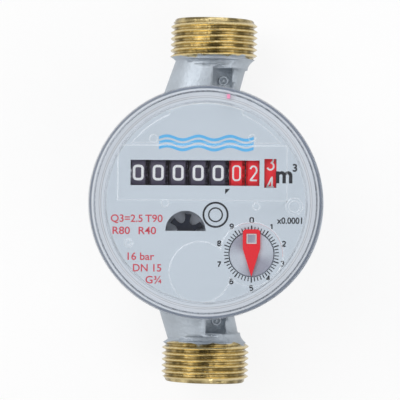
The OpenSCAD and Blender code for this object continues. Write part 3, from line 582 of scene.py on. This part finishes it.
def stroke(name, digit, width, high, line, thick, step):
    """A flat digit of that width and height, drawn with a line of even width and small thickness."""
    drawn, closed = DIGITS[digit]
    points = close_set([(x * width / (2 * HALF_W), y * high) for x, y in drawn], closed, step)
    c = bpy.data.curves.new(name, "CURVE")
    c.dimensions = "3D"
    c.bevel_depth = line / 2
    c.bevel_resolution = 1
    c.use_fill_caps = True
    s = c.splines.new("POLY")
    s.points.add(len(points) - 1)
    for p, (x, y) in zip(s.points, points):
        p.co = (x, y, 0, 1)
    s.use_cyclic_u = closed
    o = bpy.data.objects.new(name, c)
    bpy.context.scene.collection.objects.link(o)
    pick(o)
    bpy.ops.object.convert(target="MESH")
    o.scale = (1, 1, thick / line)
    return apply_place(o)


# Numbers bent round the drums

DRUM_R = 9.8 * MM
DIGIT_TURN = math.radians(36)
DIGIT_THICK, DIGIT_STEP = 0.12 * MM, 0.4 * MM
SHOWN = (0, 0, 0, 0, 0, 0, 2, 3.5)
# Black and red drums: left ends of their bands, band, and width, height and line of a digit, in millimetres
DRUM_SETS = (((-21.55, -15.8, -10.05, -4.3, 1.45), 4.0, (2.45, 3.85, 0.75)),
             ((7.2, 12.05, 16.9), 3.1, (2.0, 4.1, 0.5)))


def drum_numbers(k, shown, middle, size):
    """Ten numbers round one drum. Higher ones lie towards -Y, so that they come up from below."""
    pieces = []
    for digit in DIGITS:
        o = stroke("digit", digit, *(s * MM for s in size), DIGIT_THICK, DIGIT_STEP)
        for v in o.data.vertices:
            turn = v.co.y / DRUM_R - DIGIT_TURN * (digit - shown)
            r = DRUM_R + v.co.z
            v.co = (middle * MM + v.co.x, axle_at.y + r * math.sin(turn), axle_at.z + r * math.cos(turn))
        pieces.append(o)
    o = joined(f"drum_{k}_numbers", pieces)
    o.data.transform(to_register)
    smooth(clean(o), 50)
    finished(o, f"drum_{k}", finishes["white_ink"])


bands = [(left + band / 2, size) for lefts, band, size in DRUM_SETS for left in lefts]
for k, (shown, (middle, size)) in enumerate(zip(SHOWN, bands), 1):
    drum_numbers(k, shown, middle, size)

# Print on the dial, drawn in millimetres about the dial's centre and then put on it

PRINT_LOW = dial_top - 0.02 * MM
PRINT_HIGH = dial_top + 0.03 * MM
PRINT_MIDDLE, PRINT_THICK = (PRINT_LOW + PRINT_HIGH) / 2, PRINT_HIGH - PRINT_LOW
PRINT_STEP = 0.15 * MM
CAPITALS = 0.73


def words(text, x, y, height, wide, bold):
    """A line of print whose capitals are that high, from the left end of its baseline."""
    deselect()
    bpy.ops.object.text_add()
    data = bpy.context.object.data
    data.body = text
    data.align_x = "LEFT"
    data.size = height * MM / CAPITALS
    data.offset = bold * MM
    data.resolution_u = 4
    data.extrude = PRINT_THICK / 2
    bpy.ops.object.convert(target="MESH")
    o = bpy.context.object
    o.scale = (wide, 1, 1)
    o.location = (x * MM, y * MM, PRINT_MIDDLE)
    return apply_place(o)


def number(n, x, y):
    """A single number of the pointer scale about a place on the dial."""
    o = stroke("number", n, *(s * MM for s in NUMBER_SIZE), PRINT_THICK, PRINT_STEP)
    o.location = (x * MM, y * MM, PRINT_MIDDLE)
    return apply_place(o)


def tick(n):
    """One line of the pointer scale: a long one at each number, a shorter one where the dial leaves little room."""
    numbered = n % TICKS_A_NUMBER == 0
    half = (LONG_WIDE if numbered else SHORT_WIDE) / 2
    end = CROWDED_TICK if n == CROWDED else LONG_TICK if numbered else SHORT_TICK
    o = slab("tick", [(-half, TICK_START), (half, TICK_START), (half, end), (-half, end)], PRINT_LOW, PRINT_HIGH)
    turn = Matrix.Rotation(-2 * math.pi * n / TICKS, 4, "Z")
    return place(o, Matrix.Translation((pointer_at.x, pointer_at.y, 0)) @ turn)


def ring(name, x, y, inner, outer, start=0.0, angle=360.0, steps=64):
    """A printed ring, or a part of one that runs clockwise from its start."""
    across, along = math.cos(math.radians(start)), math.sin(math.radians(start))
    points = [((x + r * across) * MM, (y + r * along) * MM, z) for r, z in (
        (inner, PRINT_LOW), (outer, PRINT_LOW), (outer, PRINT_HIGH), (inner, PRINT_HIGH))]
    o = outline(name, points, closed=True)
    edit(o)
    if angle < 360:
        bpy.ops.mesh.edge_face_add()
    bpy.ops.mesh.spin(steps=steps, angle=math.radians(angle), center=(x * MM, y * MM, 0), axis=(0, 0, 1))
    bpy.ops.mesh.select_all(action="SELECT")
    bpy.ops.mesh.remove_doubles(threshold=FINE_MERGE)
    bpy.ops.mesh.normals_make_consistent(inside=False)
    return leave()


def wave_band(name, low):
    """A printed wavy stripe."""
    lower = []
    for k in range(WAVE_STEPS + 1):
        x = WAVE_HALF * (2 * k / WAVE_STEPS - 1)
        lower.append((x, low + WAVE_SWING * math.sin(2 * math.pi * WAVES * k / WAVE_STEPS)))
    upper = [(x, y + WAVE_THICK) for x, y in lower]
    return slab(name, lower + upper[::-1], PRINT_LOW, PRINT_HIGH)


def printed(name, ink, pieces):
    o = place(joined(name, pieces), to_register)
    clean(o, FINE_MERGE)
    finished(o, "register", finishes[ink])


TICKS, TICKS_A_NUMBER = 50, 5
TICK_START, SHORT_TICK, LONG_TICK = 6.65, 7.85, 8.2
SHORT_WIDE, LONG_WIDE = 0.27, 0.36
CROWDED, CROWDED_TICK = 20, 7.6
NUMBER_RING, NUMBERS_WITHIN = 9.75, 28.1
NUMBER_SIZE = (0.95, 1.35, 0.38)
SCALE_LINE = dict(inner=8.86, outer=8.98, start=115, angle=120, steps=40)
px, py = pointer_at.x / MM, pointer_at.y / MM
scale_marks = [tick(n) for n in range(TICKS)]
for n in DIGITS:
    a = math.pi / 2 - DIGIT_TURN * n
    x, y = px + NUMBER_RING * math.cos(a), py + NUMBER_RING * math.sin(a)
    inward = min(1.0, NUMBERS_WITHIN / math.hypot(x, y))
    scale_marks.append(number(n, x * inward, y * inward))
printed("pointer_scale", "black_ink", scale_marks)
printed("scale_line", "pink_ink", [ring("scale_line", px, py, **SCALE_LINE)])

# Text, left end and baseline, height of a capital, width against the font's, weight
UNIT_MARKS = (("m", 19.85, 5.85, 4.95, 0.98, 0.20), ("3", 24.75, 9.1, 2.2, 1.0, 0.09),
              ("x0.0001", 20.5, -5.9, 1.85, 0.93, 0.06))
READ_MARK = [(5.5, 3.95), (6.9, 3.95), (5.5, 2.45)]
printed("unit_marks", "black_ink", [words(*mark) for mark in UNIT_MARKS]
        + [slab("read_mark", READ_MARK, PRINT_LOW, PRINT_HIGH)])

RINGS_AT, OUTER_RING, INNER_RING = (2.8, -3.5), (3.2, 3.75), (1.75, 2.15)
printed("plain_ring", "black_ink", [ring("outer_ring", *RINGS_AT, *OUTER_RING),
                                    ring("inner_ring", *RINGS_AT, *INNER_RING)])

WAVE_LOW, WAVE_APART, WAVE_THICK, WAVE_SWING = 15.2, 1.45, 0.85, 0.55
WAVE_HALF, WAVES, WAVE_STEPS = 13.6, 3, 48
printed("wave_bands", "blue_ink", [wave_band(f"wave_{k}", WAVE_LOW + WAVE_APART * k) for k in range(3)])

# Text, left end and baseline, width against the font's
RATED_VALUES = (("Q3=2.5", -27.4, -5.7, 1.0), ("T90", -17.4, -5.7, 1.05), ("R80", -27.0, -9.2, 1.1),
                ("R40", -19.5, -9.2, 1.1), ("16 bar", -23.0, -16.6, 1.05), ("DN 15", -21.0, -19.9, 1.0),
                ("G¾", -17.3, -23.3, 1.05))
RATED_HIGH, RATED_BOLD = 2.2, 0.04
printed("rated_values", "red_ink", [words(text, left, base, RATED_HIGH, wide, RATED_BOLD)
                                    for text, left, base, wide in RATED_VALUES])

# A raised edge round the metal square in the pointer's tail, white as a painted highlight on its bevel

SQUARE, EDGE = 1.45, 0.32
EDGE_SUNK, EDGE_PROUD, CUT_PAST = 0.05 * MM, 0.12 * MM, 0.1 * MM
square_low, square_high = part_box("pointer_square")
middle = from_register @ ((square_low + square_high) / 2)
edge_piece, opening = (
    slab(name, [(-half, -half), (half, -half), (half, half), (-half, half)],
         square_high.z - EDGE_SUNK - past, square_high.z + EDGE_PROUD + past)
    for name, half, past in (("pointer_highlight_edge", SQUARE, 0.0), ("opening", SQUARE - EDGE, CUT_PAST)))
combine(edge_piece, "DIFFERENCE", opening)
place(edge_piece, to_register @ Matrix.Translation((middle.x, middle.y, 0)))
# The white plastic here is a painted highlight of the raised edge.
finished(edge_piece, "pointer", finishes["white_plastic"])

# Flow star: six arms with broad, blunt ends and rounded gaps, inside the circle of the CAD star

# Half an arm, from the middle of a gap to its end: radius in millimetres, degrees off the arm's middle
STAR_ARM = ((2.45, 30.0), (2.5, 25.0), (2.64, 20.0), (2.95, 15.0), (3.5, 11.6), (4.2, 11.2), (5.05, 11.4))
STAR_ARMS, STAR_TURN = 6, 22.0
STAR_EASE = 0.08 * MM
SPIGOT_R, SPIGOT_STEPS = 0.9 * MM, 64
star_low, star_high = (corner.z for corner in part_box("flow_star"))
spigot_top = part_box("star_wheel")[1].z
star_points = []
for k in range(STAR_ARMS):
    c = STAR_TURN + 360 * k / STAR_ARMS
    arm = [(r, c - h) for r, h in STAR_ARM] + [(r, c + h) for r, h in reversed(STAR_ARM[1:])]
    star_points += [(r * math.cos(math.radians(a)), r * math.sin(math.radians(a))) for r, a in arm]
star_piece = slab("broad_star", star_points, star_low, star_high)
eased(star_piece, STAR_EASE, 60)
bpy.ops.mesh.primitive_cylinder_add(vertices=SPIGOT_STEPS, radius=SPIGOT_R, depth=2 * (spigot_top - star_low),
                                    location=(0, 0, star_low))
combine(star_piece, "DIFFERENCE", apply_place(bpy.context.object))
place(star_piece, to_register @ Matrix.Translation((star_at.x, star_at.y, 0)))
finished(star_piece, "star", finishes["navy_plastic"], ["flow_star"])

# Dial cover: the CAD cover with its moulded edges eased, and pegs with dished crowns

COVER_EASE = 0.22 * MM
CROWN_ABOVE = 0.12 * MM
PEG_DEEP, PEG_SHOULDER, PEG_DISH = 0.8, 0.3, 0.15
# Place and radius of each peg
PEGS = ((25.4, -1.0, 1.9), (-22.0, -11.7, 0.9), (-11.6, -0.3, 1.3), (14.5, -1.1, 1.25), (-15.0, 18.2, 1.4),
        (13.2, 18.5, 1.3))
cover_piece = copied("dial_cover", "moulded_cover")
edit(cover_piece)
bpy.ops.mesh.dissolve_limited(angle_limit=math.radians(2))
leave()
eased(cover_piece, COVER_EASE, 50)
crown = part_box("dial_cover")[1].z + CROWN_ABOVE
pegs = []
for x, y, r in PEGS:
    profile = ((0.0, PEG_DEEP), (r, PEG_DEEP), (r, PEG_SHOULDER), (r - 0.12, 0.08), (r - 0.3, 0.0),
               (r - 0.5, PEG_DISH), (0.0, PEG_DISH))
    pegs.append(turned("peg", [((x + q) * MM, y * MM, crown - drop * MM) for q, drop in profile], (0, 0, 1),
                       SMALL_STEPS, (x * MM, y * MM, 0)))
combine(cover_piece, "UNION", place(joined("cover_pegs", pegs), to_register))
clean(cover_piece)
finished(cover_piece, "register", finishes["clear_cover"], ["dial_cover"])

# Floor

FLOOR_SIZE, FLOOR_CUTS = 6, 8
FLOOR_GLOW = 0.85
deselect()
bpy.ops.mesh.primitive_plane_add(size=FLOOR_SIZE)
floor = bpy.context.object
floor.name = "floor"
edit(floor)
bpy.ops.mesh.subdivide(number_cuts=FLOOR_CUTS)
leave()


def seen_rays(w):
    """1 for what the camera, a mirror or glass looks at, and 0 for light on its way to a matt surface."""
    p = w.add("LightPath").outputs
    seen = w.math("MAXIMUM", p["Is Camera Ray"], w.math("MAXIMUM", p["Is Glossy Ray"], p["Is Transmission Ray"]))
    return w.math("MULTIPLY", seen, w.math("LESS_THAN", p["Diffuse Depth"], 0.5))


w = Finish("pale_floor")
speckle = w.noise(w.place, 40.0, 2.0)
matt = w.add("BsdfDiffuse", {"Color": w.mix(speckle, (0.86, 0.86, 0.87, 1), (0.89, 0.89, 0.89, 1))})
glow = w.add("Emission", {"Color": (1, 1, 1, 1), "Strength": 1.0})
glowing = w.math("MULTIPLY", seen_rays(w), FLOOR_GLOW)
floor.data.materials.append(w.done(w.add("MixShader", {0: glowing, 1: matt.outputs[0], 2: glow.outputs[0]})))

# Sky: white to look at, dimmer for matt surfaces, and dark overhead in reflections

SKY_ON_MATT, SKY_OVERHEAD = 0.45, 0.16
world = bpy.data.worlds.new("studio")
bpy.context.scene.world = world
world.use_nodes = True
world.node_tree.nodes.clear()
w = Wiring(world.node_tree)
up = w.add("SeparateXYZ", {0: w.add("TexCoord").outputs["Generated"]}).outputs["Z"]
reflected = w.between(up, 0.80, 0.985, 1.0, SKY_OVERHEAD)
looked_at = w.blend(w.add("LightPath").outputs["Is Glossy Ray"], 1.0, reflected)
level = w.blend(seen_rays(w), SKY_ON_MATT, looked_at)
sky = w.add("Background", {"Color": (1, 1, 1, 1), "Strength": level})
w.add("OutputWorld", {0: sky.outputs[0]})

# Lamps: place, size in metres, watts

LAMPS = {"key_light": ((-0.55, 0.35, 0.75), 0.9, 4.8), "fill_light": ((0.6, -0.4, 0.7), 0.9, 3.3),
         "back_light": ((0.1, 0.75, 0.4), 0.7, 1.6)}
LAMP_AIM = Vector((0, 0, 0.03))
for name, (where, size, watts) in LAMPS.items():
    data = bpy.data.lights.new(name, "AREA")
    data.shape = "DISK"
    data.size = size
    data.energy = watts
    o = bpy.data.objects.new(name, data)
    o.location = where
    o.rotation_euler = (LAMP_AIM - Vector(where)).to_track_quat("-Z", "Y").to_euler()
    bpy.context.scene.collection.objects.link(o)

# Camera, as fitted to the photograph

SENSOR = 36.0
FOCAL_PIXELS, PICTURE_PIXELS = 2355.6, 400
camera_data = bpy.data.cameras.new("camera")
camera_data.sensor_width = SENSOR
camera_data.lens = SENSOR * FOCAL_PIXELS / PICTURE_PIXELS
camera_data.clip_end = 20.0
camera = bpy.data.objects.new("camera", camera_data)
camera.location = (18.04 * MM, -5.95 * MM, 733.6 * MM)
camera.rotation_euler = Euler((math.radians(0.5324), math.radians(1.6584), math.radians(1.6442)))
bpy.context.scene.collection.objects.link(camera)
bpy.context.scene.camera = camera
bpy.context.scene.view_settings.view_transform = "Standard"
